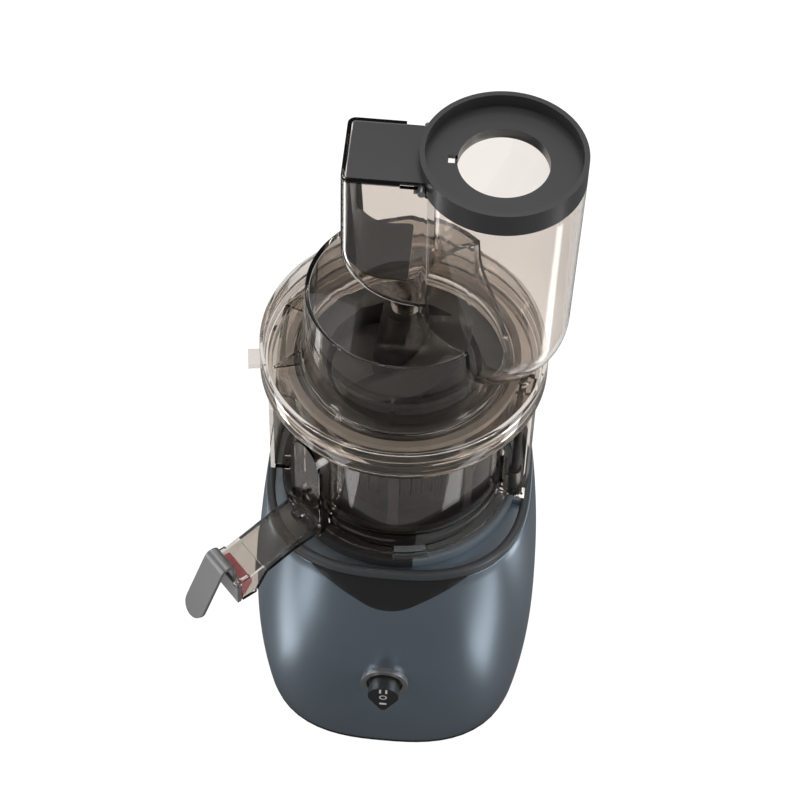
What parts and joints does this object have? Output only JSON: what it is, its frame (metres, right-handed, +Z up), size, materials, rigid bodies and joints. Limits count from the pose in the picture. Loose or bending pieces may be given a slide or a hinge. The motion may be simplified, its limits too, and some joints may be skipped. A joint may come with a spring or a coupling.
{
  "type": "cold press juicer",
  "caption": "Upright cold press juicer with motor base, clear bowl with spout, drum lid, wide side hopper and a rocking feed gate.",
  "frame": {"origin": "on the drive axis, at the level of the surface that the feet stand on", "axes": "+Z up along the drive axis, -Y to the front with the knob, +X towards the hopper"},
  "size_m": [0.222, 0.2083, 0.4993],
  "materials": {
    "shell": "satin metallic blue grey",
    "panel": "gloss black",
    "black": "fine matt black",
    "charcoal": "satin charcoal",
    "clear": "clear smoke moulding, polished",
    "screw": "dense black moulding",
    "sieve": "dark moulding with fine slots",
    "brush": "dark grey moulding",
    "wiper": "soft silicone",
    "seal": "soft translucent silicone",
    "red_seal": "soft red silicone",
    "lever": "satin grey",
    "steel": "turned steel",
    "gear": "moulded gear plastic",
    "winding": "enamelled copper",
    "board": "printed board",
    "foot": "soft black rubber"
  },
  "bodies": {
    "base": {"base_shell": "shell", "rim_trim": "charcoal", "front_panel": "panel", "deck": "shell", "bowl_seat": "shell", "bottom_plate": "black", "feet": "foot", "motor_can": "steel", "stator": "winding", "motor_bearings": "steel", "gearbox_case": "gear", "gearbox_cover": "gear", "shaft_seal": "seal", "control_board": "board", "knob_bezel": "lever", "switch_body": "black", "interlock_switch": "black", "cord_gland": "black"},
    "rotor": {"rotor": "steel"},
    "wheel": {"reduction_wheel": "gear"},
    "drive": {"output_shaft": "steel"},
    "knob": {"knob": "panel"},
    "bowl": {"bowl": "clear", "spout": "clear", "bowl_seal": "seal", "pulp_plug": "seal", "strainer": "sieve"},
    "idler": {"idler_gear": "gear"},
    "brush": {"brush_holder": "brush", "wiper_blades": "wiper"},
    "auger": {"auger": "screw", "auger_bush": "steel"},
    "cap": {"spout_cap": "lever", "cap_seal": "red_seal", "cap_pin": "steel"},
    "rod": {"push_rod": "black", "rod_spring": "steel"},
    "lid": {"lid": "clear", "hopper": "clear", "lid_seal": "seal"},
    "flip": {"flip_lid": "charcoal", "gate_pins": "steel"}
  },
  "joints": [
    {"name": "drive_spin", "type": "hinge", "parent": "base", "child": "drive", "pos_m": [0, 0, 0.15], "axis": [0, 0, 1], "continuous": true},
    {"name": "rotor_spin", "type": "hinge", "parent": "base", "child": "rotor", "pos_m": [0, 0, 0.15], "axis": [0, 0, 1], "continuous": true},
    {"name": "wheel_spin", "type": "hinge", "parent": "base", "child": "wheel", "pos_m": [0, 0.035, 0.15], "axis": [0, 0, 1], "continuous": true},
    {"name": "knob_turn", "type": "hinge", "parent": "base", "child": "knob", "pos_m": [0, -0.092, 0.091], "axis": [0, -1, 0], "range_deg": [-45, 45]},
    {"name": "bowl_lift", "type": "slide", "parent": "base", "child": "bowl", "axis": [0, 0, 1], "range_m": [0, 0.07]},
    {"name": "auger_spin", "type": "hinge", "parent": "bowl", "child": "auger", "pos_m": [0, 0, 0.15], "axis": [0, 0, 1], "continuous": true},
    {"name": "idler_spin", "type": "hinge", "parent": "bowl", "child": "idler", "pos_m": [0.015, 0.02598, 0.15], "axis": [0, 0, 1], "continuous": true},
    {"name": "brush_spin", "type": "hinge", "parent": "bowl", "child": "brush", "pos_m": [0, 0, 0.15], "axis": [0, 0, 1], "continuous": true},
    {"name": "cap_swing", "type": "hinge", "parent": "bowl", "child": "cap", "pos_m": [-0.09995, -0.09, 0.204], "axis": [-0.6691, 0.7431, 0], "range_deg": [0, 70]},
    {"name": "rod_press", "type": "slide", "parent": "bowl", "child": "rod", "axis": [0, 0, -1], "range_m": [0, 0.0025], "stiffness_N_per_m": 300, "springref_m": -0.001, "deforming": ["rod_spring"]},
    {"name": "lid_lift", "type": "slide", "parent": "bowl", "child": "lid", "axis": [0, 0, 1], "range_m": [0, 0.08]},
    {"name": "gate_flip", "type": "hinge", "parent": "lid", "child": "flip", "pos_m": [0.008, 0, 0.489], "axis": [0, -1, 0], "range_deg": [0, 88]}
  ],
  "couplings": [
    {"joint": "rotor_spin", "follows": "drive_spin", "ratio": 11},
    {"joint": "wheel_spin", "follows": "drive_spin", "ratio": -3},
    {"joint": "auger_spin", "follows": "drive_spin", "ratio": 1},
    {"joint": "idler_spin", "follows": "drive_spin", "ratio": -1.5},
    {"joint": "brush_spin", "follows": "drive_spin", "ratio": -0.42857}
  ]
}
